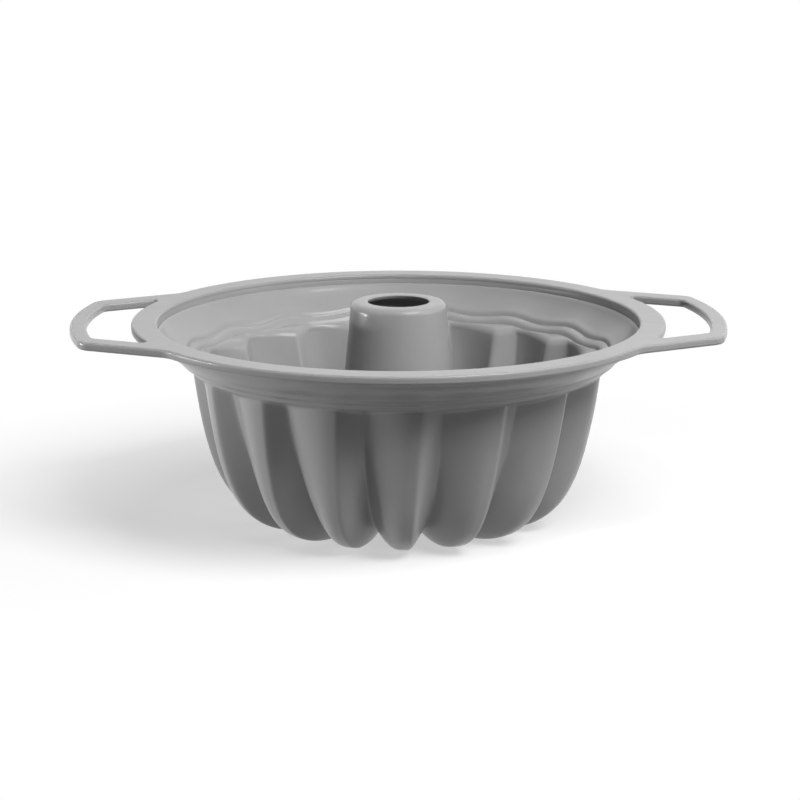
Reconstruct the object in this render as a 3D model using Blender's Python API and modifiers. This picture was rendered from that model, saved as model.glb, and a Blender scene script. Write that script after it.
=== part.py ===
"""Tube pan for ring cakes: a moulded silicone pan with sixteen swept lobes, a centre
tube and two loop handles, stiffened by a steel hoop and two steel handle wires.

Metres, +Z up. The origin is on the surface the pan stands on, under the middle of the
tube. The handles lie along X and the photographed front faces -Y.
"""

import math

import bmesh
import bpy
import numpy as np

# Rim and the two silicone shots that close over the steel
RIM_RADIUS = 0.127
RIM_WIDTH = 0.0123
RIM_THICKNESS = 0.004
RIM_TOP = 0.099
RIM_ROUND = 0.0012
WALL = 0.0022
PARTING_GAP = 0.0003

# Collar between the rim and the lobes
COLLAR_NECK = 0.0058
COLLAR_DEPTH = 0.0224
COLLAR_STEPS = (0.64, 0.84)
STEP_DROP = 0.0014
STEP_INSET = 0.0005

# Sixteen lobes, each a broad face that rises to a crest and a steep face behind it
LOBE_COUNT = 16
LOBE_RADIUS = 0.0981
LOBE_DEPTH = 0.0064
LOBE_CORNER = 0.0024
LOBE_TAPER = math.radians(6.9)
LOBE_STRAIGHT = 0.052
LOBE_BEND = 0.0388
LOBE_TURN = math.radians(3.4)
LOBE_SWEEP = math.radians(-2.4)
CREST_SHARE = 0.72
CREST_FLATNESS = 1.05
BROAD_SWELL = 1.6
VALLEY_CORNER = 0.004
VALLEY_TAPER = math.radians(11.8)
VALLEY_STRAIGHT = 0.0335
VALLEY_BEND = 0.0268
VALLEY_LIFT = 0.0076
FOOT_RADIUS = 0.0408
FOOT_LENGTH = 0.008

# Centre tube
TUBE_RADIUS = 0.0234
TUBE_DRAFT = math.radians(5.4)
TUBE_ABOVE_RIM = 0.0083
TUBE_HOLE_RADIUS = 0.0141
TUBE_ROUND = 0.0042
TUBE_ROOT_HEIGHT = 0.034

# Loop handles, flush with the rim
HANDLE_LENGTH = 0.0288
HANDLE_BAR = 0.0079
HANDLE_ARM = 0.0107
HANDLE_SPREAD = math.radians(18.5)
HANDLE_FLARE = math.radians(25.1)
HANDLE_ROOT_ROUND = 0.014
HANDLE_CORNER_ROUND = 0.0096
HANDLE_HOLE_ROUND = 0.0047
HANDLE_NOTCH_ROUND = 0.002

# Steel wire inside the rim and the handles
WIRE_RADIUS = 0.001
WIRE_GAP = 0.0003
WIRE_BEND = 0.012
WIRE_LAP = math.radians(9)

# How finely curves are stepped
LOBE_SAMPLES = (0.02, 0.34, 0.65, 0.73, 0.86, 0.98)
TUBE_STEPS = 48
RIM_STEPS = 84
WIRE_STEPS = 60
WIRE_SIDES = 6

SILICONE = ((0.36, 0.36, 0.36, 1), 0.38, 0)
STEEL = ((0.55, 0.55, 0.56, 1), 0.35, 1)


def clear_scene():
    for old in list(bpy.data.objects):
        bpy.data.objects.remove(old, do_unlink=True)


def new_collection(name):
    collection = bpy.data.collections.new(name)
    bpy.context.scene.collection.children.link(collection)
    return collection


def new_material(name, look):
    colour, roughness, metallic = look
    material = bpy.data.materials.new(name)
    material.use_nodes = True
    shader = material.node_tree.nodes["Principled BSDF"]
    shader.inputs["Base Color"].default_value = colour
    shader.inputs["Roughness"].default_value = roughness
    shader.inputs["Metallic"].default_value = metallic
    return material


def new_object(name, data, collection, material=None):
    item = bpy.data.objects.new(name, data)
    collection.objects.link(item)
    if material:
        data.materials.append(material)
    return item


def lerp(start, end, share):
    return start + (end - start) * share


def smoothly_shaded(mesh):
    mesh.shade_smooth()
    mesh.set_sharp_from_angle(angle=math.radians(32))


# Meridians of the pan, as underside points (radius, height). A row of the shell is a
# pair of them: where it runs along the crests, and where it runs along the valleys.

def parting_height():
    return RIM_TOP - RIM_THICKNESS / 2


def rim_hole_radius():
    return RIM_RADIUS - RIM_WIDTH


def shelf_height():
    return RIM_TOP - COLLAR_DEPTH


def collar_rows():
    """Straight neck under the rim, then a cone with two small steps in it."""
    top_radius = rim_hole_radius() + WALL
    neck_height = RIM_TOP - COLLAR_NECK
    points = [(top_radius, parting_height() - PARTING_GAP / 2), (top_radius, neck_height)]
    cone_radius = top_radius - WALL / 2
    cone_height = neck_height - WALL / 2
    points.append((cone_radius, cone_height))
    for share in COLLAR_STEPS:
        radius = lerp(cone_radius, LOBE_RADIUS, share)
        height = lerp(cone_height, shelf_height(), share)
        points.append((radius + STEP_INSET, height + STEP_DROP / 2))
        points.append((radius - STEP_INSET, height - STEP_DROP / 2))
    return [(point, point) for point in points]


def bezier(points, share):
    rest = 1 - share
    weights = (rest ** 3, 3 * rest ** 2 * share, 3 * rest * share ** 2, share ** 3)
    return tuple(sum(w * p[axis] for w, p in zip(weights, points)) for axis in (0, 1))


def wall_curve(top, taper, straight, bend, foot):
    """Control points from just under the shelf to the foot of the lobe."""
    leaving = (top[0] - straight * math.sin(taper), top[1] - straight * math.cos(taper))
    return top, leaving, (foot[0] + bend, foot[1]), foot


def lobe_rows():
    """Crests and valleys each follow a curve of their own from the shelf to the foot."""
    valley_radius = LOBE_RADIUS - LOBE_DEPTH
    shelf = ((LOBE_RADIUS, shelf_height()),
             (valley_radius + VALLEY_CORNER, shelf_height() - VALLEY_CORNER / 4))
    crest = wall_curve((LOBE_RADIUS, shelf_height() - LOBE_CORNER), LOBE_TAPER,
                       LOBE_STRAIGHT, LOBE_BEND, (FOOT_RADIUS + FOOT_LENGTH / 2, 0))
    valley = wall_curve((valley_radius, shelf_height() - VALLEY_CORNER), VALLEY_TAPER,
                        VALLEY_STRAIGHT, VALLEY_BEND,
                        (FOOT_RADIUS + FOOT_LENGTH / 4, VALLEY_LIFT))
    shares = (0, 0.2, 0.4, 0.58, 0.74, 0.88, 1)
    return [shelf] + [(bezier(crest, share), bezier(valley, share)) for share in shares]


def tube_radius_at(height):
    """Radius of the tube's underside, which is the side turned to the bore."""
    return TUBE_RADIUS - WALL + (RIM_TOP - height) * math.tan(TUBE_DRAFT)


def root_rows():
    """From the foot of the lobes up into the tube, where the lobes fade out."""
    inner_foot = FOOT_RADIUS - FOOT_LENGTH / 2
    root_radius = tube_radius_at(TUBE_ROOT_HEIGHT / 2)
    end = (tube_radius_at(TUBE_ROOT_HEIGHT), TUBE_ROOT_HEIGHT)
    crest = ((inner_foot, 0), (lerp(inner_foot, root_radius, 0.7), 0),
             (root_radius, TUBE_ROOT_HEIGHT * 0.35), end)
    valley = ((inner_foot, VALLEY_LIFT), (lerp(inner_foot, root_radius, 0.6), VALLEY_LIFT),
              (root_radius, TUBE_ROOT_HEIGHT * 0.5), end)
    shares = (0, 0.36, 0.68, 1)
    return [(bezier(crest, share), bezier(valley, share)) for share in shares]


def tube_points():
    """Up the tube, over its rounded lip and in to the hole."""
    lip_height = RIM_TOP + TUBE_ABOVE_RIM - WALL
    turn = TUBE_ROUND - WALL
    turn_height = lip_height - turn
    turn_start = tube_radius_at(turn_height)
    middle_height = lerp(TUBE_ROOT_HEIGHT, turn_height, 0.5)
    points = [(tube_radius_at(middle_height), middle_height)]
    for step in range(3):
        angle = step * math.pi / 4
        points.append((turn_start - turn * (1 - math.cos(angle)),
                       turn_height + turn * math.sin(angle)))
    lip_middle = (turn_start - turn + TUBE_HOLE_RADIUS) / 2
    points += [(lip_middle, lip_height), (TUBE_HOLE_RADIUS, lip_height)]
    return points


def lobe_wave(share):
    """Zero in a valley and one on a crest: a broad convex rise, then a straight fall.

    The crest itself is slightly flattened, which gives the lobes flat feet to stand on.
    """
    if share < CREST_SHARE:
        wave = 1 - (1 - share / CREST_SHARE) ** BROAD_SWELL
    else:
        wave = (1 - share) / (1 - CREST_SHARE)
    return min(wave * CREST_FLATNESS, 1)


def add_ring(mesh, points):
    return [mesh.verts.new(point) for point in points]


def bridge(mesh, upper, lower):
    """Join two rings with faces, where the upper one may have twice as many points."""
    spread = len(upper) // len(lower)
    for index, corner in enumerate(lower):
        after = lower[(index + 1) % len(lower)]
        run = [upper[(index * spread + step) % len(upper)] for step in range(spread + 1)]
        if spread == 1:
            mesh.faces.new((corner, after, run[1], run[0]))
            continue
        mesh.faces.new((corner, run[1], run[0]))
        mesh.faces.new((corner, after, run[1]))
        mesh.faces.new((after, run[2], run[1]))


def lobed_ring(crest, valley, sweep):
    """Points round one row of the shell. The crests sweep, and the valleys don't."""
    pitch = 2 * math.pi / LOBE_COUNT
    points = []
    for lobe in range(LOBE_COUNT):
        for share in LOBE_SAMPLES:
            wave = lobe_wave(share)
            angle = (lobe + share - CREST_SHARE) * pitch + LOBE_TURN + sweep * wave
            radius = lerp(valley[0], crest[0], wave)
            height = lerp(valley[1], crest[1], wave)
            points.append((radius * math.sin(angle), -radius * math.cos(angle), height))
    return points


def plain_ring(point, above):
    """Points round one row of the tube, each below or above every second one before."""
    spread = len(above) // TUBE_STEPS
    points = []
    for corner in above[::spread]:
        angle = math.atan2(corner.co.y, corner.co.x)
        points.append((point[0] * math.cos(angle), point[0] * math.sin(angle), point[1]))
    return points


def shell_mesh():
    """The pan's underside as an open surface, with its faces turned down and out."""
    mesh = bmesh.new()
    rings = []
    sweep = 0
    for crest, valley in collar_rows() + lobe_rows() + root_rows():
        fallen = (shelf_height() - crest[1]) / shelf_height()
        sweep = min(sweep, LOBE_SWEEP * min(max(fallen, 0), 1))
        rings.append(add_ring(mesh, lobed_ring(crest, valley, sweep)))
    for point in tube_points():
        rings.append(add_ring(mesh, plain_ring(point, rings[-1])))
    for upper, lower in zip(rings, rings[1:]):
        bridge(mesh, upper, lower)
    data = bpy.data.meshes.new("pan_body")
    mesh.to_mesh(data)
    mesh.free()
    return data


# Outlines of the handles. An arm's side is the straight line whose points p have
# side_normal . p equal to an offset, so a parallel side is the same line further in.

def handle_reach():
    return RIM_RADIUS + HANDLE_LENGTH


def side_normal():
    return np.array((math.sin(HANDLE_FLARE), math.cos(HANDLE_FLARE)))


def outer_side():
    corner = handle_reach() * np.array((math.cos(HANDLE_SPREAD), math.sin(HANDLE_SPREAD)))
    return float(side_normal() @ corner)


def blend_centre(offset, circle_radius, side_round, circle_round):
    """Centre of the arc that touches an arm's side and a circle about the pan's axis.

    A positive round lies outside the side or the circle, and a negative one inside it.
    """
    along = np.array((math.cos(HANDLE_FLARE), -math.sin(HANDLE_FLARE)))
    across = offset + side_round
    reach = circle_radius + circle_round
    return side_normal() * across + along * math.sqrt(reach ** 2 - across ** 2)


def arc(centre, radius, start, end, steps):
    angles = np.linspace(start, end, steps + 1)
    return [(centre[0] + radius * math.cos(a), centre[1] + radius * math.sin(a))
            for a in angles]


def polar_angle(point):
    return math.atan2(point[1], point[0])


def half_loop(offset, tip_radius, root_radius, tip_round, root_round):
    """One side of a loop, from the middle of its tip bar to the circle at its root.

    A negative root_round puts the root's arc on the handle hole's side of the arm.
    """
    side_angle = polar_angle(side_normal())
    tip_centre = blend_centre(offset, tip_radius, -tip_round, -tip_round)
    root_centre = blend_centre(offset, root_radius, root_round, abs(root_round))
    tip_angle = polar_angle(tip_centre)
    root_angle = polar_angle(root_centre)
    points = arc((0, 0), tip_radius, 0, tip_angle, 5)
    points += arc(tip_centre, tip_round, tip_angle, side_angle, 4)
    if root_round > 0:
        points += arc(root_centre, root_round, side_angle - math.pi,
                      root_angle - math.pi, 5)
    else:
        points += arc(root_centre, -root_round, side_angle, root_angle + math.pi, 5)
    return without_repeats(points)


def without_repeats(points):
    kept = [points[0]]
    for point in points[1:]:
        if math.dist(point, kept[-1]) > 1e-6:
            kept.append(point)
    return kept


def mirrored(points):
    return [(x, -y) for x, y in reversed(points)]


def handle_outline():
    half = half_loop(outer_side(), handle_reach(), RIM_RADIUS,
                     HANDLE_CORNER_ROUND, HANDLE_ROOT_ROUND)
    return mirrored(half)[:-1] + half


def handle_hole():
    half = half_loop(outer_side() - HANDLE_ARM, handle_reach() - HANDLE_BAR, RIM_RADIUS,
                     HANDLE_HOLE_ROUND, -HANDLE_NOTCH_ROUND)
    root = polar_angle(half[-1])
    rim_side = arc((0, 0), RIM_RADIUS, root, -root, 10)[1:-1]
    return mirrored(half)[:-1] + half + rim_side


def turned_half_way(points):
    return [(-x, -y) for x, y in points]


def plate_outline():
    """Rim and both handles in one run, counter-clockwise from the right handle."""
    handle = handle_outline()
    root = polar_angle(handle[-1])
    steps = round((math.pi - 2 * root) / (2 * math.pi) * RIM_STEPS)
    rim = arc((0, 0), RIM_RADIUS, root, math.pi - root, steps)[1:-1]
    half = handle + rim
    return half + turned_half_way(half)


def circle(radius, steps=RIM_STEPS):
    return arc((0, 0), radius, 0, 2 * math.pi, steps)[:-1]


def add_spline(curve, points, height=0, closed=True):
    spline = curve.splines.new("POLY")
    spline.points.add(len(points) - 1)
    for target, (x, y) in zip(spline.points, points):
        target.co = (x, y, height, 1)
    spline.use_cyclic_u = closed


def mesh_from_curve(name, curve, height=0):
    """Turn a curve into a closed mesh whose caps are joined to its walls."""
    temporary = bpy.data.objects.new(name, curve)
    bpy.context.scene.collection.objects.link(temporary)
    bpy.context.view_layer.update()
    evaluated = temporary.evaluated_get(bpy.context.evaluated_depsgraph_get())
    data = bpy.data.meshes.new_from_object(evaluated)
    data.name = name
    bpy.data.objects.remove(temporary)
    bpy.data.curves.remove(curve)
    mesh = bmesh.new()
    mesh.from_mesh(data)
    bmesh.ops.remove_doubles(mesh, verts=mesh.verts, dist=1e-6)
    bmesh.ops.translate(mesh, verts=mesh.verts, vec=(0, 0, height))
    mesh.to_mesh(data)
    mesh.free()
    return data


def rim_plate_mesh(name, hole_radius):
    """Full thickness of the rim and handles, with every long edge rounded over."""
    curve = bpy.data.curves.new(name, "CURVE")
    curve.dimensions = "2D"
    curve.fill_mode = "BOTH"
    curve.extrude = RIM_THICKNESS / 2 - RIM_ROUND
    curve.bevel_depth = RIM_ROUND
    curve.bevel_resolution = 1
    curve.offset = -RIM_ROUND
    for points in (plate_outline(), circle(hole_radius), handle_hole(),
                   turned_half_way(handle_hole())):
        add_spline(curve, points)
    return mesh_from_curve(name, curve, parting_height())


def slab(name, bottom, top, collection):
    """A box as wide as the whole pan, which keeps one side of the parting."""
    mesh = bmesh.new()
    bmesh.ops.create_cube(mesh, size=1)
    width = 2.2 * handle_reach()
    bmesh.ops.scale(mesh, verts=mesh.verts, vec=(width, width, top - bottom))
    bmesh.ops.translate(mesh, verts=mesh.verts, vec=(0, 0, (bottom + top) / 2))
    data = bpy.data.meshes.new(name)
    mesh.to_mesh(data)
    mesh.free()
    box = new_object(name, data, collection)
    hide_helper(box)
    return box


# Wires

def wire_height():
    return parting_height()


def hoop_radius():
    return RIM_RADIUS - RIM_WIDTH / 2


def lap_radius():
    """The handle wires lie along the outside of the hoop where they are welded on."""
    return hoop_radius() + 2 * WIRE_RADIUS + WIRE_GAP


def handle_wire_path():
    half = half_loop(outer_side() - HANDLE_ARM / 2, handle_reach() - HANDLE_BAR / 2,
                     lap_radius(), HANDLE_CORNER_ROUND - HANDLE_ARM / 2, WIRE_BEND)
    root = polar_angle(half[-1])
    half += arc((0, 0), lap_radius(), root, root + WIRE_LAP, 3)[1:]
    return mirrored(half)[:-1] + half


def wire_mesh(name, points, radius, closed=False):
    curve = bpy.data.curves.new(name, "CURVE")
    curve.dimensions = "3D"
    curve.bevel_depth = radius
    curve.bevel_resolution = WIRE_SIDES // 2 - 2
    curve.use_fill_caps = not closed
    add_spline(curve, points, wire_height(), closed)
    return mesh_from_curve(name, curve)


def lengthened(points, length):
    """The same open path with both ends carried straight on."""
    run = [np.array(point) for point in points]
    first = run[0] + (run[0] - run[1]) / np.linalg.norm(run[0] - run[1]) * length
    last = run[-1] + (run[-1] - run[-2]) / np.linalg.norm(run[-1] - run[-2]) * length
    return [tuple(first)] + points + [tuple(last)]


def groove_cutters(collection):
    radius = WIRE_RADIUS + WIRE_GAP / math.cos(math.pi / WIRE_SIDES)
    path = lengthened(handle_wire_path(), WIRE_GAP)
    meshes = [wire_mesh("hoop_groove", circle(hoop_radius(), WIRE_STEPS), radius, closed=True),
              wire_mesh("right_handle_groove", path, radius),
              wire_mesh("left_handle_groove", turned_half_way(path), radius)]
    cutters = []
    for data in meshes:
        cutter = new_object(data.name, data, collection)
        hide_helper(cutter)
        cutters.append(cutter)
    return cutters


def hide_helper(item):
    item.hide_render = True
    item.display_type = "WIRE"


def add_boolean(item, operation, other):
    boolean = item.modifiers.new(other.name, "BOOLEAN")
    boolean.operation = operation
    boolean.solver = "EXACT"
    boolean.object = other


def build_body(parts, helpers, silicone, cutters):
    """The pan proper: shell, lower half of the rim and handles, and the wire grooves."""
    body = new_object("pan_body", shell_mesh(), parts, silicone)
    smoothly_shaded(body.data)
    shell = body.modifiers.new("wall", "SOLIDIFY")
    shell.thickness = WALL
    shell.offset = -1
    shell.use_even_offset = True
    body.modifiers.new("flat_faces", "TRIANGULATE")
    plate_mesh = rim_plate_mesh("lower_rim", rim_hole_radius() + WALL / 2)
    plate = new_object("lower_rim", plate_mesh, helpers)
    hide_helper(plate)
    add_boolean(plate, "INTERSECT", slab("below_parting", RIM_TOP - 2 * RIM_THICKNESS,
                                         parting_height() - PARTING_GAP / 2, helpers))
    add_boolean(body, "UNION", plate)
    for cutter in cutters:
        add_boolean(body, "DIFFERENCE", cutter)
    return body


def build_cap(parts, helpers, silicone, cutters):
    """The second shot, which closes over the steel and makes the top face."""
    cap = new_object("rim_cap", rim_plate_mesh("rim_cap", rim_hole_radius()), parts,
                     silicone)
    smoothly_shaded(cap.data)
    add_boolean(cap, "INTERSECT", slab("above_parting", parting_height() + PARTING_GAP / 2,
                                       RIM_TOP + RIM_THICKNESS, helpers))
    for cutter in cutters:
        add_boolean(cap, "DIFFERENCE", cutter)
    return cap


def build_wires(parts, steel):
    path = handle_wire_path()
    wires = (("rim_hoop", circle(hoop_radius(), WIRE_STEPS), True),
             ("right_handle_wire", path, False),
             ("left_handle_wire", turned_half_way(path), False))
    for name, points, closed in wires:
        wire = new_object(name, wire_mesh(name, points, WIRE_RADIUS, closed), parts, steel)
        smoothly_shaded(wire.data)


def main():
    clear_scene()
    parts = new_collection("tube_pan")
    helpers = new_collection("tube_pan_cutters")
    silicone = new_material("silicone", SILICONE)
    steel = new_material("steel", STEEL)
    cutters = groove_cutters(helpers)
    build_body(parts, helpers, silicone, cutters)
    build_cap(parts, helpers, silicone, cutters)
    build_wires(parts, steel)


main()
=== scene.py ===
"""Looks of a silicone tube pan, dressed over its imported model.

The pan is one skin of satin grey silicone: sixteen swept lobes under a stepped collar, a
centre tube, a flat rim with two loop handles, and steel wires closed into the rim. Metres,
+Z up, the handles along X and the photographed front facing -Y.
"""

from __future__ import annotations

import logging
import math
from dataclasses import dataclass, field
from enum import Enum

import bmesh
import bpy
from mathutils import Matrix, Vector

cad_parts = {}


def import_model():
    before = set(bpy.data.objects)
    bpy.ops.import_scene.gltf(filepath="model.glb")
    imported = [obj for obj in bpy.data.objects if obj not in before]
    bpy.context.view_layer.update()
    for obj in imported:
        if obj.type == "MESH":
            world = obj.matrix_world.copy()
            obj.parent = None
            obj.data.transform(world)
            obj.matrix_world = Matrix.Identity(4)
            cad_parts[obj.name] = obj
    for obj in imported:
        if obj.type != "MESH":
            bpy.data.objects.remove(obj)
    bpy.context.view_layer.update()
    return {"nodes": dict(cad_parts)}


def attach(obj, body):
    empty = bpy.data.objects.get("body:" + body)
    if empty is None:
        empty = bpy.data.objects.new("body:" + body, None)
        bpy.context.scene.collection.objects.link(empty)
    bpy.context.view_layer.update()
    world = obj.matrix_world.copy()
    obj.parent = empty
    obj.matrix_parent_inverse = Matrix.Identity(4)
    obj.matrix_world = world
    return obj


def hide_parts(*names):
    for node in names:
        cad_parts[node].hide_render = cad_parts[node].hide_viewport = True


log = logging.getLogger("tube_pan")

Point = tuple[float, float]
Place = tuple[float, float, float]
Colour = tuple[float, float, float, float]

SAME_SPOT = 1e-6  # points closer than this are one point
MOST_CORNERS = 1_000_000  # more corners than any skin here has


class Part(Enum):
    """The kinds of mesh part that can be selected in edit mode."""

    CORNER = "VERT"
    FACE = "FACE"


class Shot(Enum):
    """The two silicone shots, each on its own side of the parting line."""

    LOWER = "lower"
    UPPER = "upper"


def blended(start: float, end: float, share: float) -> float:
    """Return the value a share of the way from start to end."""
    return start + (end - start) * share


def bezier(points: tuple[Point, ...], share: float) -> Point:
    """Find a point on a cubic curve.

    Args:
        points: The curve's four control points.
        share: How far along the curve, from 0 to 1.

    Returns:
        The point as (radius, height).
    """
    rest = 1 - share
    weights = (rest ** 3, 3 * rest ** 2 * share, 3 * rest * share ** 2, share ** 3)
    radius = sum(weight * point[0] for weight, point in zip(weights, points))
    height = sum(weight * point[1] for weight, point in zip(weights, points))
    return radius, height


def clear_selection() -> None:
    """Leave edit mode and deselect every object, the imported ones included."""
    if bpy.context.object and bpy.context.object.mode != "OBJECT":
        bpy.ops.object.mode_set(mode="OBJECT")
    bpy.ops.object.select_all(action="DESELECT")


def take_up(piece: bpy.types.Object) -> None:
    """Make a piece the only selected object and the active one.

    Args:
        piece: The object to work on next.
    """
    clear_selection()
    piece.select_set(True)
    bpy.context.view_layer.objects.active = piece


def open_up(piece: bpy.types.Object, part: Part) -> None:
    """Enter edit mode on a piece, with none of its parts selected.

    Args:
        piece: The mesh object to edit.
        part: The kind of part to select.
    """
    take_up(piece)
    bpy.ops.object.mode_set(mode="EDIT")
    bpy.ops.mesh.select_mode(type=part.value)
    bpy.ops.mesh.select_all(action="DESELECT")


def pick_corners(piece: bpy.types.Object, numbers: list[int]) -> bmesh.types.BMesh:
    """Select these corners of a piece in edit mode, and nothing else.

    Args:
        piece: The mesh object in edit mode.
        numbers: The corners' numbers.

    Returns:
        The mesh under edit.
    """
    bpy.ops.mesh.select_all(action="DESELECT")
    mesh = bmesh.from_edit_mesh(piece.data)
    mesh.verts.ensure_lookup_table()
    for number in numbers:
        mesh.verts[number].select = True
    mesh.select_flush(True)
    bmesh.update_edit_mesh(piece.data, loop_triangles=False, destructive=False)
    return mesh


def corner_order(part: bmesh.types.BMEdge | bmesh.types.BMFace) -> int:
    """Return a number that sorts edges or faces by their first corner, then their last."""
    numbers = [corner.index for corner in part.verts]
    return min(numbers) * MOST_CORNERS + max(numbers)


def finish_with(piece: bpy.types.Object, kind: str, **settings: object) -> None:
    """Add a modifier to a piece and apply it.

    Args:
        piece: The mesh object to change.
        kind: The modifier's type.
        settings: The modifier's own settings.
    """
    take_up(piece)
    modifier = piece.modifiers.new(kind.lower(), kind)
    for name, value in settings.items():
        setattr(modifier, name, value)
    bpy.ops.object.modifier_apply(modifier=modifier.name)


def smooth_faces(piece: bpy.types.Object, sharp: float) -> None:
    """Shade a piece smooth, with its flat faces kept flat.

    Args:
        piece: The mesh object to shade.
        sharp: The angle past which an edge stays sharp.
    """
    take_up(piece)
    bpy.ops.object.shade_smooth_by_angle(angle=sharp)
    finish_with(piece, "WEIGHTED_NORMAL", keep_sharp=True)


def keep_one_side(piece: bpy.types.Object, height: float, keep: Shot,
                  beyond: float = 0) -> None:
    """Cut a closed piece flat at a height and close the cut.

    Args:
        piece: The mesh object to cut.
        height: The height of the cut.
        keep: LOWER keeps what is below the cut, and UPPER what is above it.
        beyond: Only the faces at least this far from the axis are cut.
    """
    open_up(piece, Part.FACE)
    mesh = bmesh.from_edit_mesh(piece.data)
    for face in mesh.faces:
        face.select_set(face.calc_center_median().xy.length >= beyond)
    bmesh.update_edit_mesh(piece.data)
    bpy.ops.mesh.bisect(plane_co=(0, 0, height), plane_no=(0, 0, 1), use_fill=True,
                        clear_inner=keep is Shot.UPPER, clear_outer=keep is Shot.LOWER)
    bpy.ops.object.mode_set(mode="OBJECT")


def add_node(tree: bpy.types.NodeTree, kind: str, *first: object,
             **named: object) -> bpy.types.Node:
    """Add a shader node and fill its inputs, each with a value or with a linked socket.

    Args:
        tree: The nodes to add to.
        kind: The node's type, after its ShaderNode prefix.
        first: What the first inputs get, in their order.
        named: What other inputs get, by their names with _ for each space.

    Returns:
        The node.
    """
    node = tree.nodes.new("ShaderNode" + kind)
    for key, value in [*enumerate(first), *named.items()]:
        socket = node.inputs[key.replace("_", " ") if isinstance(key, str) else key]
        if isinstance(value, bpy.types.NodeSocket):
            tree.links.new(value, socket)
        else:
            socket.default_value = value
    return node


def new_material(name: str) -> tuple[bpy.types.Material, bpy.types.NodeTree]:
    """Start a node material with only its output in place.

    Args:
        name: The material's name.

    Returns:
        The material and its nodes.
    """
    material = bpy.data.materials.new(name)
    material.use_nodes = True
    material.node_tree.nodes.clear()
    add_node(material.node_tree, "OutputMaterial").name = "surface"
    return material, material.node_tree


def show(tree: bpy.types.NodeTree, shader: bpy.types.NodeSocket) -> None:
    """Make a shader the material's surface."""
    tree.links.new(shader, tree.nodes["surface"].inputs["Surface"])


def ranged(tree: bpy.types.NodeTree, value: bpy.types.NodeSocket, low: float, high: float,
           start: float = 0.3, end: float = 0.7) -> bpy.types.NodeSocket:
    """Map one span of a value to another, and hold it at the ends.

    Args:
        tree: The nodes to add to.
        value: The value to map.
        low: The result at the span's start.
        high: The result at the span's end.
        start: The value at the span's start.
        end: The value at the span's end.

    Returns:
        The mapped value.
    """
    node = add_node(tree, "MapRange", Value=value, From_Min=start, From_Max=end,
                    To_Min=low, To_Max=high)
    return node.outputs["Result"]


def bumped(tree: bpy.types.NodeTree, height: bpy.types.NodeSocket, depth: float,
           under: bpy.types.NodeSocket | None = None) -> bpy.types.NodeSocket:
    """Add a bump of a real depth, over another one if given.

    Args:
        tree: The nodes to add to.
        height: The pattern that gives the bump its shape.
        depth: The bump's depth in metres where the pattern is 1.
        under: The bump below it.

    Returns:
        The bumped normal.
    """
    node = add_node(tree, "Bump", Strength=1, Distance=depth, Height=height)
    if under:
        tree.links.new(under, node.inputs["Normal"])
    return node.outputs["Normal"]


def two_tone(tree: bpy.types.NodeTree, share: bpy.types.NodeSocket, none: Colour,
             full: Colour) -> bpy.types.NodeSocket:
    """Blend two colours.

    Args:
        tree: The nodes to add to.
        share: How much of the second colour shows, from 0 to 1.
        none: The colour where the share is 0.
        full: The colour where the share is 1.

    Returns:
        The blended colour.
    """
    node = add_node(tree, "Mix")
    node.data_type = "RGBA"
    node.inputs["A"].default_value = none
    node.inputs["B"].default_value = full
    tree.links.new(share, node.inputs["Factor"])
    return node.outputs["Result"]


def dress(piece: bpy.types.Object, material: bpy.types.Material) -> None:
    """Give a piece one material all over."""
    piece.data.materials.clear()
    piece.data.materials.append(material)


@dataclass(frozen=True)
class Pattern:
    """A noise pattern, with its scale in cells along a metre and its finer layers."""

    scale: float
    detail: float = 2.0
    roughness: float = 0.5

    def add(self, tree: bpy.types.NodeTree,
            place: bpy.types.NodeSocket) -> bpy.types.NodeSocket:
        """Add the pattern to a material.

        Args:
            tree: The nodes to add to.
            place: The coordinates to read.

        Returns:
            The pattern's value, about 0.5 on average.
        """
        node = add_node(tree, "TexNoise", Vector=place, Scale=self.scale,
                        Detail=self.detail, Roughness=self.roughness)
        return node.outputs["Fac"]


@dataclass(frozen=True)
class SiliconeFinish:
    """Satin moulded silicone: even grey, with a fine grain and slow waves in its skin."""

    name: str = "satin_silicone"
    light: Colour = (0.375, 0.375, 0.377, 1)
    dark: Colour = (0.352, 0.352, 0.354, 1)
    mottle: Pattern = Pattern(34, 3, 0.6)
    roughness: Point = (0.3, 0.37)
    patches: Pattern = Pattern(120, 4, 0.6)
    waves: Pattern = Pattern(22, 1, 0.4)
    wave_depth: float = 0.0007
    grain: Pattern = Pattern(2600, 2, 0.6)
    grain_depth: float = 0.000012
    bending: float = 1.42
    shine: float = 0.25
    gloss: float = 0.3
    gloss_roughness: float = 0.09

    def material(self) -> bpy.types.Material:
        """Make the finish a material.

        Returns:
            The material.
        """
        material, tree = new_material(self.name)
        place = add_node(tree, "TexCoord").outputs["Object"]
        mottle = ranged(tree, self.mottle.add(tree, place), 0, 1)
        rough = ranged(tree, self.patches.add(tree, place), *self.roughness)
        waves = bumped(tree, self.waves.add(tree, place), self.wave_depth)
        grain = bumped(tree, self.grain.add(tree, place), self.grain_depth, waves)
        shader = add_node(tree, "BsdfPrincipled", Roughness=rough, IOR=self.bending,
                          Base_Color=two_tone(tree, mottle, self.dark, self.light),
                          Specular_IOR_Level=self.shine, Normal=grain,
                          Coat_Weight=self.gloss, Coat_Roughness=self.gloss_roughness,
                          Coat_IOR=self.bending, Coat_Normal=waves)
        show(tree, shader.outputs["BSDF"])
        return material


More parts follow.
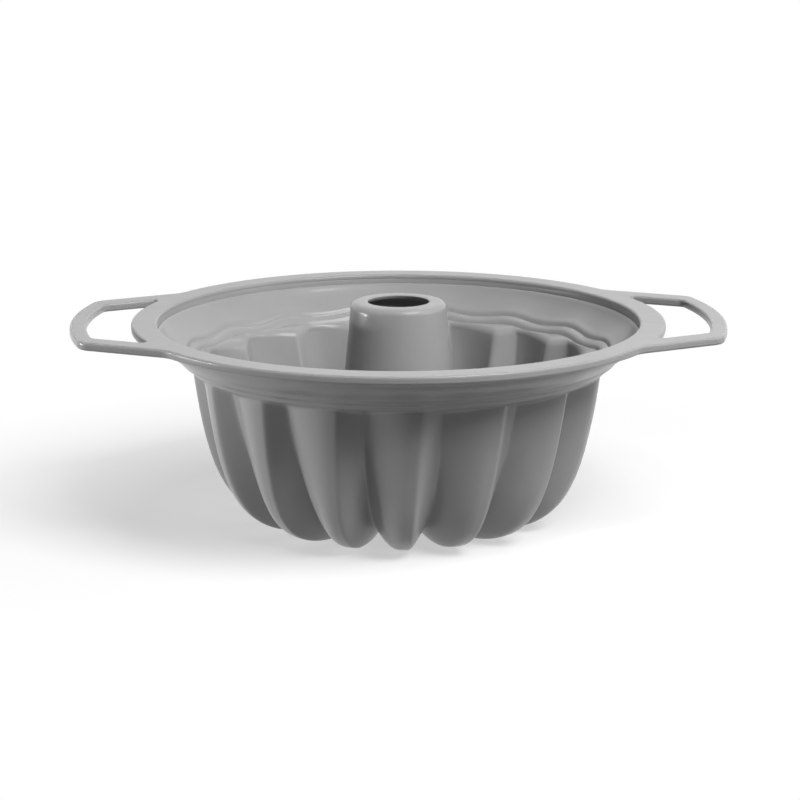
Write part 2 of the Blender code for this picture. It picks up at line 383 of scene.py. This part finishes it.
@dataclass(frozen=True)
class DrawnWireFinish:
    """Bright drawn steel wire, with fine die lines and a few duller patches."""

    name: str = "drawn_steel"
    bright: Colour = (0.55, 0.55, 0.56, 1)
    dull: Colour = (0.4, 0.4, 0.41, 1)
    patches: Pattern = Pattern(60, 3)
    lines: Pattern = Pattern(90, 3, 0.6)
    line_stretch: Place = (1, 1, 60)
    line_depth: float = 0.00002
    roughness: Point = (0.28, 0.42)

    def material(self) -> bpy.types.Material:
        """Make the finish a material.

        Returns:
            The material.
        """
        material, tree = new_material(self.name)
        place = add_node(tree, "TexCoord").outputs["Object"]
        stretched = add_node(tree, "Mapping", Vector=place, Scale=self.line_stretch)
        lines = self.lines.add(tree, stretched.outputs["Vector"])
        patches = ranged(tree, self.patches.add(tree, place), 0, 1)
        shader = add_node(tree, "BsdfPrincipled", Metallic=1,
                          Base_Color=two_tone(tree, patches, self.dull, self.bright),
                          Roughness=ranged(tree, lines, *self.roughness),
                          Normal=bumped(tree, lines, self.line_depth))
        show(tree, shader.outputs["BSDF"])
        return material


@dataclass(frozen=True)
class RimSizes:
    """Flat rim that the bowl hangs from, and the line where its two shots meet."""

    radius: float = 0.127
    width: float = 0.0123
    thickness: float = 0.004
    top: float = 0.099
    edge_round: float = 0.0012
    parting_gap: float = 0.00006

    @property
    def hole_radius(self) -> float:
        """Radius of the bowl's mouth inside the rim."""
        return self.radius - self.width

    @property
    def parting(self) -> float:
        """Height of the line at half the rim's thickness."""
        return self.top - self.thickness / 2


@dataclass(frozen=True)
class HandleSizes:
    """Loop handles that lie flush with the rim."""

    length: float = 0.0288
    bar: float = 0.0079
    arm: float = 0.0107
    spread: float = math.radians(18.5)
    flare: float = math.radians(25.1)
    root_round: float = 0.014
    corner_round: float = 0.0096
    hole_round: float = 0.0047
    notch_round: float = 0.002


@dataclass(frozen=True)
class SkinRow:
    """One row round the bowl's underside, as (radius, height) on crests and in valleys."""

    crest: Point
    valley: Point


def plain_rows(points: list[Point]) -> list[SkinRow]:
    """Return rows that run evenly round, through these points."""
    return [SkinRow(point, point) for point in points]


class Turning:
    """Pulls a skin out of one ring of corners, row by row, as on a lathe.

    The ring has the same places in each lobe, and a place keeps its number in each row. A
    row is moved by scaling it about a centre far below the table, so that a height of 0
    can change as well.
    """

    CENTRE_HEIGHT = -1.0

    def __init__(self, name: str, lobes: int, places: int, start: Point) -> None:
        """Start with one open ring, whose first corner is at the back.

        Args:
            name: The piece's name.
            lobes: How many lobes go round.
            places: How many corners each lobe has.
            start: The ring's radius and height.
        """
        clear_selection()
        bpy.ops.mesh.primitive_circle_add(vertices=lobes * places, radius=start[0],
                                          fill_type="NOTHING", location=(0, 0, 0))
        self.piece = bpy.context.object
        self.piece.name = name
        self.piece.data.name = name
        self.corners = lobes * places
        self.now = [start] * places
        bpy.ops.object.mode_set(mode="EDIT")
        bpy.ops.mesh.select_mode(type=Part.CORNER.value)
        bpy.ops.mesh.select_all(action="SELECT")
        bpy.ops.transform.translate(value=(0, 0, start[1]))

    def select(self, places: list[int]) -> None:
        """Select places of the last ring, in every lobe.

        Args:
            places: The places' numbers within a lobe.
        """
        count = len(bmesh.from_edit_mesh(self.piece.data).verts)
        pick_corners(self.piece, [number for place in places for number in range(
            count - self.corners + place, count, len(self.now))])

    def select_ring(self) -> None:
        """Select the whole of the last ring."""
        self.select(list(range(len(self.now))))

    def turn(self, angle: float) -> None:
        """Turn what is selected about the axis, counter-clockwise from above."""
        bpy.ops.transform.rotate(value=-angle, orient_axis="Z", center_override=(0, 0, 0))

    def pull(self, targets: list[Point]) -> None:
        """Extrude a new ring and move each of its places.

        Args:
            targets: The new radius and height of each place.
        """
        bpy.ops.mesh.extrude_region_move()
        moves: dict[tuple[Point, Point], list[int]] = {}
        for place, (old, new) in enumerate(zip(self.now, targets)):
            moves.setdefault((old, new), []).append(place)
        centre = self.CENTRE_HEIGHT
        for (old, new), places in moves.items():
            if len(moves) > 1:
                self.select(places)
            spread = new[0] / old[0]
            rise = (new[1] - centre) / (old[1] - centre)
            bpy.ops.transform.resize(value=(spread, spread, rise),
                                     center_override=(0, 0, centre))
        self.now = list(targets)
        self.select_ring()

    def done(self) -> bpy.types.Object:
        """Number the edges and faces alike in each run, and leave edit mode.

        Returns:
            The piece.
        """
        mesh = bmesh.from_edit_mesh(self.piece.data)
        mesh.verts.index_update()
        for parts in (mesh.edges, mesh.faces):
            parts.sort(key=corner_order)
            parts.index_update()
        bmesh.update_edit_mesh(self.piece.data)
        bpy.ops.object.mode_set(mode="OBJECT")
        return self.piece


@dataclass(frozen=True)
class FlutedBowl:
    """Collar, sixteen swept lobes and centre tube, as one skin of even thickness.

    The rows run along the underside, from the rim down to the feet and up the tube's bore.
    A Point is (across, up), but crest_flatness is (at the shelf, at the feet), and lobe_line
    goes once along a lobe as (share of the lobe, how far out between valley and crest).
    """

    rim: RimSizes = field(default_factory=RimSizes)
    wall: float = 0.0022
    collar_neck: float = 0.0063
    neck_bend: Point = (0.0002, 0.0009)
    neck_ledge: Point = (0.0018, 0.0004)
    collar_depth: float = 0.0224
    cone_shares: tuple[float, ...] = (0.1, 0.36)
    step_shares: tuple[float, ...] = (0.62, 0.86)
    step_inset: float = 0.0002
    step_drop: float = 0.0012
    step_run: Point = (0.0013, 0.001)
    step_lift: float = 0.0006
    ripple: Point = (0.0012, 0.0018)
    ripple_turn: float = 0.05
    ripple_fade_rows: int = 3
    lobe_count: int = 16
    lobe_radius: float = 0.0981
    lobe_depth: float = 0.0064
    shelf_edge: tuple[Point, ...] = (
        (0.0003, 0.0001), (0, -0.0004), (0, -0.001), (0, -0.0017))
    shelf_depth_share: float = 0.9
    lobe_corner: float = 0.0024
    lobe_taper: float = math.radians(6.9)
    lobe_straight: float = 0.052
    lobe_bend: float = 0.0388
    lobe_turn: float = math.radians(3.4)
    lobe_sweep: float = math.radians(-2.4)
    crest_share: float = 0.72
    crest_flatness: Point = (1.05, 1.16)
    valley_corner: float = 0.004
    valley_taper: float = math.radians(11.8)
    valley_straight: float = 0.0335
    valley_bend: float = 0.0268
    valley_lift: float = 0.0076
    wall_shares: tuple[float, ...] = (
        0, 0.12, 0.25, 0.38, 0.5, 0.6, 0.69, 0.77, 0.84, 0.9, 0.955, 1)
    foot_radius: float = 0.0408
    foot_length: float = 0.008
    crest_root: Point = (0.7, 0.35)
    valley_root: Point = (0.6, 0.5)
    root_shares: tuple[float, ...] = (0, 0.18, 0.36, 0.54, 0.72, 0.88, 1)
    tube_radius: float = 0.0234
    tube_draft: float = math.radians(5.4)
    tube_root_height: float = 0.034
    tube_heights: Place = (0.05, 0.072, 0.092)
    tube_above_rim: float = 0.0083
    tube_round: float = 0.0034
    lip_start: float = 0.002
    lip_steps: int = 5
    lip_middle: float = 0.0177
    tube_hole_radius: float = 0.0141
    hole_edge: float = 0.0019
    hole_undercut: float = 1.1
    hole_slack: float = 0.0002
    lobe_line: tuple[Point, ...] = (
        (0.0, 0.0), (0.03, 0.065), (0.09, 0.2), (0.2, 0.42), (0.33, 0.645), (0.46, 0.83),
        (0.57, 0.94), (0.65, 0.985), (0.7, 1.0), (0.735, 0.985), (0.77, 0.885),
        (0.845, 0.585), (0.93, 0.26))

    @property
    def shelf(self) -> float:
        """Height of the shelf that the lobes start from."""
        return self.rim.top - self.collar_depth

    @property
    def valley_radius(self) -> float:
        """Radius of the valleys between the lobes, at the shelf."""
        return self.lobe_radius - self.lobe_depth

    def neck_rows(self) -> list[SkinRow]:
        """Shape the straight neck under the rim and the small ledge below it.

        Returns:
            The rows, from the rim down.
        """
        radius = self.rim.hole_radius + self.wall
        neck = self.rim.top - self.collar_neck
        return plain_rows([
            (radius, self.rim.parting + self.wall / 2), (radius, neck + self.neck_bend[1]),
            (radius - self.neck_bend[0], neck),
            (radius - self.neck_ledge[0], neck - self.neck_ledge[1])])

    def cone_rows(self) -> list[SkinRow]:
        """Shape the cone of the collar with its two small steps.

        Returns:
            The rows, from the neck down, with four to a step.
        """
        start = (self.rim.hole_radius + self.wall / 2,
                 self.rim.top - self.collar_neck - self.wall / 2)
        end = (self.lobe_radius, self.shelf)
        points = [(blended(start[0], end[0], share), blended(start[1], end[1], share))
                  for share in self.cone_shares]
        for share in self.step_shares:
            radius = blended(start[0], end[0], share)
            height = blended(start[1], end[1], share)
            upper = (radius + self.step_inset, height + self.step_drop / 2)
            lower = (radius - self.step_inset, height - self.step_drop / 2)
            points += [(upper[0] + self.step_run[0], upper[1] + self.step_run[1]), upper,
                       lower, (lower[0] - self.step_run[0], lower[1] - self.step_run[1])]
        return plain_rows(points)

    def shelf_rows(self) -> list[SkinRow]:
        """Shape the shelf and the rounded corner from it into the lobes.

        Returns:
            The rows, from the collar down.
        """
        rows = []
        for number, (out, fall) in enumerate(self.shelf_edge):
            angle = math.radians(90 * number / len(self.shelf_edge))
            inward = self.shelf_depth_share * self.lobe_depth * (1 - math.sin(angle))
            down = self.valley_corner * (1 - math.cos(angle))
            rows.append(SkinRow((self.lobe_radius + out, self.shelf + fall),
                                (self.valley_radius + inward, self.shelf - down)))
        return rows

    def wall_rows(self) -> list[SkinRow]:
        """Shape the lobes down to their feet: a straight run, and then a bend inward.

        Returns:
            The rows, from the shelf down.
        """
        curves = []
        for start, straight, taper, foot, bend in (
                ((self.lobe_radius, self.shelf - self.lobe_corner), self.lobe_straight,
                 self.lobe_taper, (self.foot_radius + self.foot_length / 2, 0),
                 self.lobe_bend),
                ((self.valley_radius, self.shelf - self.valley_corner),
                 self.valley_straight, self.valley_taper,
                 (self.foot_radius + self.foot_length / 4, self.valley_lift),
                 self.valley_bend)):
            below = (start[0] - straight * math.sin(taper),
                     start[1] - straight * math.cos(taper))
            curves.append((start, below, (foot[0] + bend, foot[1]), foot))
        return [SkinRow(*(bezier(curve, share) for curve in curves))
                for share in self.wall_shares]

    def bore_radius(self, height: float) -> float:
        """Return the radius of the side of the tube that faces its bore, at a height."""
        drop = self.rim.top - height
        return self.tube_radius - self.wall + drop * math.tan(self.tube_draft)

    def root_rows(self) -> list[SkinRow]:
        """Shape the bottom from the feet up into the tube, where the lobes fade out.

        Returns:
            The rows, from the feet up.
        """
        foot = self.foot_radius - self.foot_length / 2
        root = self.bore_radius(self.tube_root_height / 2)
        end = (self.bore_radius(self.tube_root_height), self.tube_root_height)
        curves = []
        for height, (run, rise) in ((0, self.crest_root),
                                    (self.valley_lift, self.valley_root)):
            curves.append(((foot, height), (blended(foot, root, run), height),
                           (root, self.tube_root_height * rise), end))
        return [SkinRow(*(bezier(curve, share) for curve in curves))
                for share in self.root_shares]

    def tube_rows(self) -> list[SkinRow]:
        """Shape the tube, its rounded lip and the flat top in to the hole.

        Returns:
            The rows, from the root up.
        """
        lip = self.rim.top + self.tube_above_rim - self.wall
        turn = self.tube_round - self.wall
        turn_height = lip - turn
        turn_radius = self.bore_radius(turn_height)
        points = [(self.bore_radius(height), height)
                  for height in (*self.tube_heights, turn_height - self.lip_start)]
        for step in range(self.lip_steps + 1):
            angle = step * math.pi / (2 * self.lip_steps)
            points.append((turn_radius - turn * (1 - math.cos(angle)),
                           turn_height + turn * math.sin(angle)))
        points += [(self.lip_middle, lip), (self.tube_hole_radius + self.hole_edge, lip),
                   (self.tube_hole_radius, lip)]
        return plain_rows(points)

    def spread_places(self, turning: Turning) -> None:
        """Turn the first ring's corners to their places along a lobe.

        Args:
            turning: The skin, with its even first ring.
        """
        pitch = 2 * math.pi / self.lobe_count
        for place, (share, _) in enumerate(self.lobe_line):
            turning.select([place])
            even = place / len(self.lobe_line)
            turning.turn(pitch * (share - self.crest_share - even) + self.lobe_turn)
        turning.select_ring()

    def sweep_ring(self, turning: Turning, angle: float) -> None:
        """Turn the last ring's crests, less so towards the valleys, which stay.

        Args:
            turning: The skin.
            angle: How far the crests turn.
        """
        for place, (_, out) in enumerate(self.lobe_line):
            if out:
                turning.select([place])
                turning.turn(angle * out)
        turning.select_ring()

    def ripple_collar(self, bowl: bpy.types.Object) -> None:
        """Wave the inside of the collar with the lobes, and make its steps stand out.

        Args:
            bowl: The bowl just after its thickness was added, when the inside's corners
                follow the underside's in the same order.
        """
        places = len(self.lobe_line)
        ring = self.lobe_count * places
        inside = len(bowl.data.vertices) // 2
        lifts = ([0] * len(self.cone_shares)
                 + [0, self.step_lift, -self.step_lift, 0] * len(self.step_shares))
        open_up(bowl, Part.CORNER)
        for row, lift in enumerate(lifts):
            strength = min((row + 1) / self.ripple_fade_rows, 1)
            first = inside + (len(self.neck_rows()) + row) * ring
            for place, (share, _) in enumerate(self.lobe_line):
                wave = math.cos(2 * math.pi * (share + self.ripple_turn))
                dip = strength * (1 - wave) / 2
                mesh = pick_corners(bowl, list(range(first + place, first + ring, places)))
                radius = mesh.verts[first + place].co.xy.length
                inward = 1 - self.ripple[0] * dip / radius
                bpy.ops.transform.resize(value=(inward, inward, 1),
                                         center_override=(0, 0, 0))
                bpy.ops.transform.translate(value=(0, 0, lift - self.ripple[1] * dip))
        bpy.ops.object.mode_set(mode="OBJECT")

    def undercut_hole(self, bowl: bpy.types.Object) -> None:
        """Widen the lower edge of the tube's hole, which leaves its upper edge thin.

        Args:
            bowl: The bowl after its thickness was added.
        """
        lip = self.rim.top + self.tube_above_rim
        reach = self.tube_hole_radius + self.hole_slack
        lower_edge = [corner.index for corner in bowl.data.vertices
                      if corner.co.xy.length < reach and corner.co.z < lip - self.wall / 2]
        open_up(bowl, Part.CORNER)
        pick_corners(bowl, lower_edge)
        bpy.ops.transform.resize(value=(self.hole_undercut, self.hole_undercut, 1),
                                 center_override=(0, 0, lip))
        bpy.ops.object.mode_set(mode="OBJECT")

    def build(self) -> bpy.types.Object:
        """Turn the bowl, thicken it and cut it flat at the rim's parting line.

        Returns:
            The closed skin.
        """
        rows = (self.neck_rows() + self.cone_rows() + self.shelf_rows() + self.wall_rows()
                + self.root_rows() + self.tube_rows())
        turning = Turning("pan_skin", self.lobe_count, len(self.lobe_line), rows[0].crest)
        self.spread_places(turning)
        swept = 0.0
        for row in rows[1:]:
            fallen = min(max((self.shelf - row.crest[1]) / self.shelf, 0), 1)
            flatness = blended(*self.crest_flatness, fallen ** 3)
            outs = [min(out * flatness, 1) for _, out in self.lobe_line]
            turning.pull([(blended(row.valley[0], row.crest[0], out),
                           blended(row.valley[1], row.crest[1], out)) for out in outs])
            sweep = min(swept, self.lobe_sweep * fallen)
            if sweep < swept:
                self.sweep_ring(turning, sweep - swept)
                swept = sweep
        bowl = turning.done()
        finish_with(bowl, "SOLIDIFY", thickness=self.wall, offset=-1, use_even_offset=True)
        self.ripple_collar(bowl)
        self.undercut_hole(bowl)
        finish_with(bowl, "SUBSURF", levels=1, render_levels=1)
        keep_one_side(bowl, self.rim.parting - self.rim.parting_gap / 2, Shot.LOWER,
                      beyond=self.tube_radius * 2)
        return bowl


class OutlineSide:
    """One arm's straight side, with the arcs that round it into the tip and the rim."""

    def __init__(self, handle: HandleSizes, reach: float, inset: float) -> None:
        """Place the side.

        Args:
            handle: The handle's sizes.
            reach: The radius of the handle's outer edge at its tip.
            inset: How far inside the arm's outer side the line runs.
        """
        self.facing = Vector((math.sin(handle.flare), math.cos(handle.flare)))
        self.along = Vector((math.cos(handle.flare), -math.sin(handle.flare)))
        corner = Vector((math.cos(handle.spread), math.sin(handle.spread))) * reach
        self.offset = self.facing.dot(corner) - inset

    def centre(self, radius: float, side_round: float, circle_round: float) -> Vector:
        """Place the arc that touches the side and a circle about the axis.

        Args:
            radius: The circle's radius.
            side_round: The arc's radius, negative where it lies inside the side.
            circle_round: The arc's radius, negative where it lies inside the circle.

        Returns:
            The arc's centre.
        """
        across = self.offset + side_round
        reach = radius + circle_round
        return self.facing * across + self.along * math.sqrt(reach ** 2 - across ** 2)


def turn_of(point: Vector) -> float:
    """Return a flat point's angle about the axis."""
    return math.atan2(point[1], point[0])


def arc(centre: Vector, radius: float, start: float, end: float, steps: int) -> list[Vector]:
    """Draw an arc.

    Args:
        centre: The arc's centre.
        radius: Its radius.
        start: The angle of its first point.
        end: The angle of its last point.
        steps: How many straight pieces it has.

    Returns:
        Its points, both ends included.
    """
    angles = [blended(start, end, step / steps) for step in range(steps + 1)]
    return [Vector((centre[0] + radius * math.cos(angle), centre[1] + radius * math.sin(angle)))
            for angle in angles]


def mirrored(points: list[Vector]) -> list[Vector]:
    """Return an outline's other half, in the same run."""
    return [Vector((point.x, -point.y)) for point in reversed(points)]


def turned_half_way(points: list[Vector]) -> list[Vector]:
    """Return an outline turned to the other side of the pan."""
    return [-point for point in points]


@dataclass(frozen=True)
class RimPlate:
    """The rim with both loop handles, as a flat plate with rounded edges."""

    rim: RimSizes = field(default_factory=RimSizes)
    handle: HandleSizes = field(default_factory=HandleSizes)
    circle_steps: int = 320
    arc_steps: int = 16
    edge_steps: int = 5

    @property
    def reach(self) -> float:
        """Radius of the handles' outer edges."""
        return self.rim.radius + self.handle.length

    def half_loop(self, inset: float, tip: float, tip_round: float,
                  root_round: float) -> list[Vector]:
        """Draw one side of a loop, from the middle of its tip to the rim's circle.

        Args:
            inset: How far inside the arm's outer side the line runs.
            tip: The radius of the tip's edge.
            tip_round: The radius of the corner at the tip.
            root_round: The radius at the root, negative on the side of the hole.

        Returns:
            The line's points.
        """
        side = OutlineSide(self.handle, self.reach, inset)
        tip_centre = side.centre(tip, -tip_round, -tip_round)
        root_centre = side.centre(self.rim.radius, root_round, abs(root_round))
        facing = turn_of(side.facing)
        root = turn_of(root_centre)
        points = arc(Vector((0, 0)), tip, 0, turn_of(tip_centre), self.arc_steps)
        points += arc(tip_centre, tip_round, turn_of(tip_centre), facing, self.arc_steps)
        if root_round > 0:
            points += arc(root_centre, root_round, facing - math.pi, root - math.pi,
                          self.arc_steps)
        else:
            points += arc(root_centre, -root_round, facing, root + math.pi, self.arc_steps)
        return [point for number, point in enumerate(points)
                if number == 0 or (point - points[number - 1]).length > SAME_SPOT]

    def outline(self) -> list[Vector]:
        """Draw the outer edge of the rim and both handles.

        Returns:
            The edge's points in one run.
        """
        half = self.half_loop(0, self.reach, self.handle.corner_round,
                              self.handle.root_round)
        loop = mirrored(half)[:-1] + half
        root = turn_of(loop[-1])
        steps = round((math.pi - 2 * root) / (2 * math.pi) * self.circle_steps)
        rim = arc(Vector((0, 0)), self.rim.radius, root, math.pi - root, steps)[1:-1]
        return loop + rim + turned_half_way(loop + rim)

    def handle_hole(self) -> list[Vector]:
        """Draw the edge of the right handle's finger hole.

        Returns:
            The edge's points in one run.
        """
        half = self.half_loop(self.handle.arm, self.reach - self.handle.bar,
                              self.handle.hole_round, -self.handle.notch_round)
        root = turn_of(half[-1])
        rim = arc(Vector((0, 0)), self.rim.radius, root, -root, 2 * self.arc_steps)[1:-1]
        return mirrored(half)[:-1] + half + rim

    def full_plate(self, name: str, mouth_radius: float) -> bpy.types.Object:
        """Fill the outlines to a plate of full thickness, at its height.

        Args:
            name: The piece's name.
            mouth_radius: The radius of the round hole in the middle.

        Returns:
            The closed plate.
        """
        curve = bpy.data.curves.new(name, "CURVE")
        curve.dimensions = "2D"
        curve.fill_mode = "BOTH"
        curve.extrude = self.rim.thickness / 2 - self.rim.edge_round
        curve.bevel_depth = self.rim.edge_round
        curve.bevel_resolution = self.edge_steps
        curve.offset = -self.rim.edge_round
        mouth = arc(Vector((0, 0)), mouth_radius, 0, 2 * math.pi, self.circle_steps)[:-1]
        hole = self.handle_hole()
        for points in (self.outline(), mouth, hole, turned_half_way(hole)):
            spline = curve.splines.new("POLY")
            spline.points.add(len(points) - 1)
            for target, point in zip(spline.points, points):
                target.co = (point.x, point.y, 0, 1)
            spline.use_cyclic_u = True
        plate = bpy.data.objects.new(name, curve)
        bpy.context.scene.collection.objects.link(plate)
        take_up(plate)
        bpy.ops.object.convert(target="MESH")
        plate = bpy.context.object
        bpy.ops.object.mode_set(mode="EDIT")
        bpy.ops.mesh.select_all(action="SELECT")
        bpy.ops.mesh.remove_doubles(threshold=SAME_SPOT)
        bpy.ops.transform.translate(value=(0, 0, self.rim.parting))
        bpy.ops.object.mode_set(mode="OBJECT")
        return plate

    def build(self, name: str, mouth_radius: float, keep: Shot) -> bpy.types.Object:
        """Build one shot of the plate.

        Args:
            name: The piece's name.
            mouth_radius: The radius of the round hole in the middle.
            keep: The side of the parting line to keep.

        Returns:
            The closed half.
        """
        plate = self.full_plate(name, mouth_radius)
        side = 0.5 if keep is Shot.UPPER else -0.5
        keep_one_side(plate, self.rim.parting + side * self.rim.parting_gap, keep)
        return plate


@dataclass(frozen=True)
class PanSkin:
    """The two silicone shots: the bowl with the lower half of the rim, and the cap."""

    bowl: FlutedBowl = field(default_factory=FlutedBowl)
    plate: RimPlate = field(default_factory=RimPlate)
    finish: SiliconeFinish = field(default_factory=SiliconeFinish)
    sharp_edge: float = math.radians(38)

    def lower_shot(self) -> bpy.types.Object:
        """Grow the lower half of the rim and handles onto the bowl.

        Returns:
            The first shot.
        """
        body = self.bowl.build()
        mouth = self.plate.rim.hole_radius + self.bowl.wall / 2
        lower = self.plate.build("lower_rim", mouth, Shot.LOWER)
        finish_with(body, "BOOLEAN", operation="UNION", solver="MANIFOLD", object=lower)
        bpy.data.objects.remove(lower)
        smooth_faces(body, self.sharp_edge)
        return body

    def cap(self) -> bpy.types.Object:
        """Build the upper half of the rim and handles.

        Returns:
            The second shot.
        """
        cap = self.plate.build("rim_cap_skin", self.plate.rim.hole_radius, Shot.UPPER)
        smooth_faces(cap, self.sharp_edge)
        return cap

    def build(self) -> list[bpy.types.Object]:
        """Build and dress both shots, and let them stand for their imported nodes.

        Returns:
            The two pieces.
        """
        silicone = self.finish.material()
        pieces = []
        for piece, node, slot in ((self.lower_shot(), "pan_body", "silicone"),
                                  (self.cap(), "rim_cap", "silicone_cap")):
            dress(piece, silicone)
            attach(piece, "root")
            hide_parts(node)
            pieces.append(piece)
        return pieces


@dataclass(frozen=True)
class SteelWires:
    """The rim's hoop and the two handle loops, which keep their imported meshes."""

    names: tuple[str, ...] = ("rim_hoop", "left_handle_wire", "right_handle_wire")
    finish: DrawnWireFinish = field(default_factory=DrawnWireFinish)

    def build(self, nodes: dict[str, bpy.types.Object]) -> list[bpy.types.Object]:
        """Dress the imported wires.

        Args:
            nodes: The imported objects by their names.

        Returns:
            The three wires.
        """
        steel = self.finish.material()
        wires = [nodes[name] for name in self.names]
        for wire in wires:
            dress(wire, steel)
        return wires


@dataclass(frozen=True)
class Softbox:
    """A studio lamp aimed at the pan, with its size as (width, height)."""

    name: str
    place: Place
    size: Point
    radiance: float
    aim: Place = (0, 0, 0.06)

    def light_up(self) -> None:
        """Add the lamp, hidden from the camera."""
        data = bpy.data.lights.new(self.name, "AREA")
        data.shape = "RECTANGLE"
        data.size, data.size_y = self.size
        data.energy = self.radiance * math.pi * self.size[0] * self.size[1]
        lamp = bpy.data.objects.new(self.name, data)
        bpy.context.scene.collection.objects.link(lamp)
        lamp.location = self.place
        facing = Vector(self.aim) - Vector(self.place)
        lamp.rotation_euler = facing.to_track_quat("-Z", "Y").to_euler()
        lamp.visible_camera = False


def seen_directly(tree: bpy.types.NodeTree) -> bpy.types.NodeSocket:
    """Tell rays from the camera, a glossy surface or clear glass from all others.

    Args:
        tree: The nodes to add to.

    Returns:
        1 for such a ray, and 0 for any other.
    """
    rays = add_node(tree, "LightPath").outputs
    value = rays["Is Camera Ray"]
    for other in ("Is Glossy Ray", "Is Transmission Ray"):
        most = add_node(tree, "Math", value, rays[other])
        most.operation = "MAXIMUM"
        value = most.outputs["Value"]
    return value


@dataclass(frozen=True)
class WhiteTable:
    """A white table that keeps the pan's shadow and fades to plain white.

    To the pan it is darker than it looks, and it glows softly near the pan, as a table lit
    from below does. Both reaches are distances from the middle, where a fade starts and
    where it ends.
    """

    size: float = 16
    cloth: float = 0.6
    brightness: float = 0.48
    shadow_reach: Point = (0.13, 0.3)
    bounce: float = 0.05
    glow: float = 0.3
    glow_reach: Point = (0.14, 0.26)

    def matt(self, tree: bpy.types.NodeTree, grey: float) -> bpy.types.NodeSocket:
        """Return an even matt grey."""
        return add_node(tree, "BsdfDiffuse", Color=(grey, grey, grey, 1)).outputs["BSDF"]

    def material(self) -> bpy.types.Material:
        """Make the table's material.

        Returns:
            The material.
        """
        material, tree = new_material("white_table")
        length = add_node(tree, "VectorMath", add_node(tree, "TexCoord").outputs["Object"])
        length.operation = "LENGTH"
        away = length.outputs["Value"]
        light = add_node(tree, "Emission", Strength=self.brightness)
        lit = add_node(tree, "AddShader", self.matt(tree, self.cloth),
                       light.outputs["Emission"])
        white = add_node(tree, "Emission", Strength=1)
        looks = add_node(tree, "MixShader", ranged(tree, away, 0, 1, *self.shadow_reach),
                         lit.outputs["Shader"], white.outputs["Emission"])
        near = add_node(tree, "Emission",
                        Strength=ranged(tree, away, self.glow, 0, *self.glow_reach))
        back = add_node(tree, "AddShader", self.matt(tree, self.bounce),
                        near.outputs["Emission"])
        either = add_node(tree, "MixShader", seen_directly(tree), back.outputs["Shader"],
                          looks.outputs["Shader"])
        show(tree, either.outputs["Shader"])
        return material

    def build(self) -> None:
        """Lay the table under the pan."""
        clear_selection()
        bpy.ops.mesh.primitive_plane_add(size=self.size, location=(0, 0, 0))
        table = bpy.context.object
        table.name = "table"
        table.data.name = "table"
        dress(table, self.material())


@dataclass(frozen=True)
class Studio:
    """White table, plain soft light and the photograph's camera."""

    table: WhiteTable = field(default_factory=WhiteTable)
    yaw: float = math.radians(-2.457)
    rise: float = math.radians(13.35)
    distance: float = 1.1827
    aim: Place = (0.000733, 0, 0.058711)
    lens: float = 110.6
    sensor_width: float = 36
    sight: float = 20
    ambient: float = 0.02
    lamps: tuple[Softbox, ...] = (
        Softbox("key_softbox", (0.48, -0.62, 0.96), (0.6, 0.6), 13.0),
        Softbox("left_softbox", (-1.2, 0.04, 0.07), (0.5, 0.13), 46.0),
        Softbox("right_softbox", (1.12, -0.2, 0.45), (0.4, 0.3), 6.0),
        Softbox("back_softbox", (0, 0.84, 1.05), (1.0, 0.8), 0.8),
    )

    def place_camera(self) -> None:
        """Stand the camera where the photograph was taken from."""
        turn = Matrix.Rotation(self.yaw, 3, "Z")
        away = Vector((0, -math.cos(self.rise), math.sin(self.rise))) * self.distance
        data = bpy.data.cameras.new("camera")
        data.lens = self.lens
        data.sensor_width = self.sensor_width
        data.clip_end = self.sight
        camera = bpy.data.objects.new("camera", data)
        bpy.context.scene.collection.objects.link(camera)
        camera.location = turn @ (Vector(self.aim) + away)
        camera.rotation_euler = (turn @ -away).to_track_quat("-Z", "Y").to_euler()
        bpy.context.scene.camera = camera

    def paint_world(self) -> None:
        """Make the surroundings white to look at and dim as a light."""
        world = bpy.data.worlds.new("studio")
        bpy.context.scene.world = world
        world.use_nodes = True
        tree = world.node_tree
        background = tree.nodes["Background"]
        background.inputs["Color"].default_value = (1, 1, 1, 1)
        strength = ranged(tree, seen_directly(tree), self.ambient, 1, 0, 1)
        tree.links.new(strength, background.inputs["Strength"])

    def build(self) -> None:
        """Set up table, light and camera."""
        self.table.build()
        self.paint_world()
        for lamp in self.lamps:
            lamp.light_up()
        self.place_camera()
        bpy.context.scene.view_settings.view_transform = "Standard"


def main() -> None:
    """Build the silicone skins, the wires and the studio, and report each piece."""
    logging.basicConfig(level=logging.INFO, format="%(name)s: %(message)s")
    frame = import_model()
    for piece in PanSkin().build() + SteelWires().build(frame["nodes"]):
        log.info("%s in %s: %d faces", piece.name, piece.active_material.name,
                 len(piece.data.polygons))
    Studio().build()


if __name__ == "__main__":
    main()
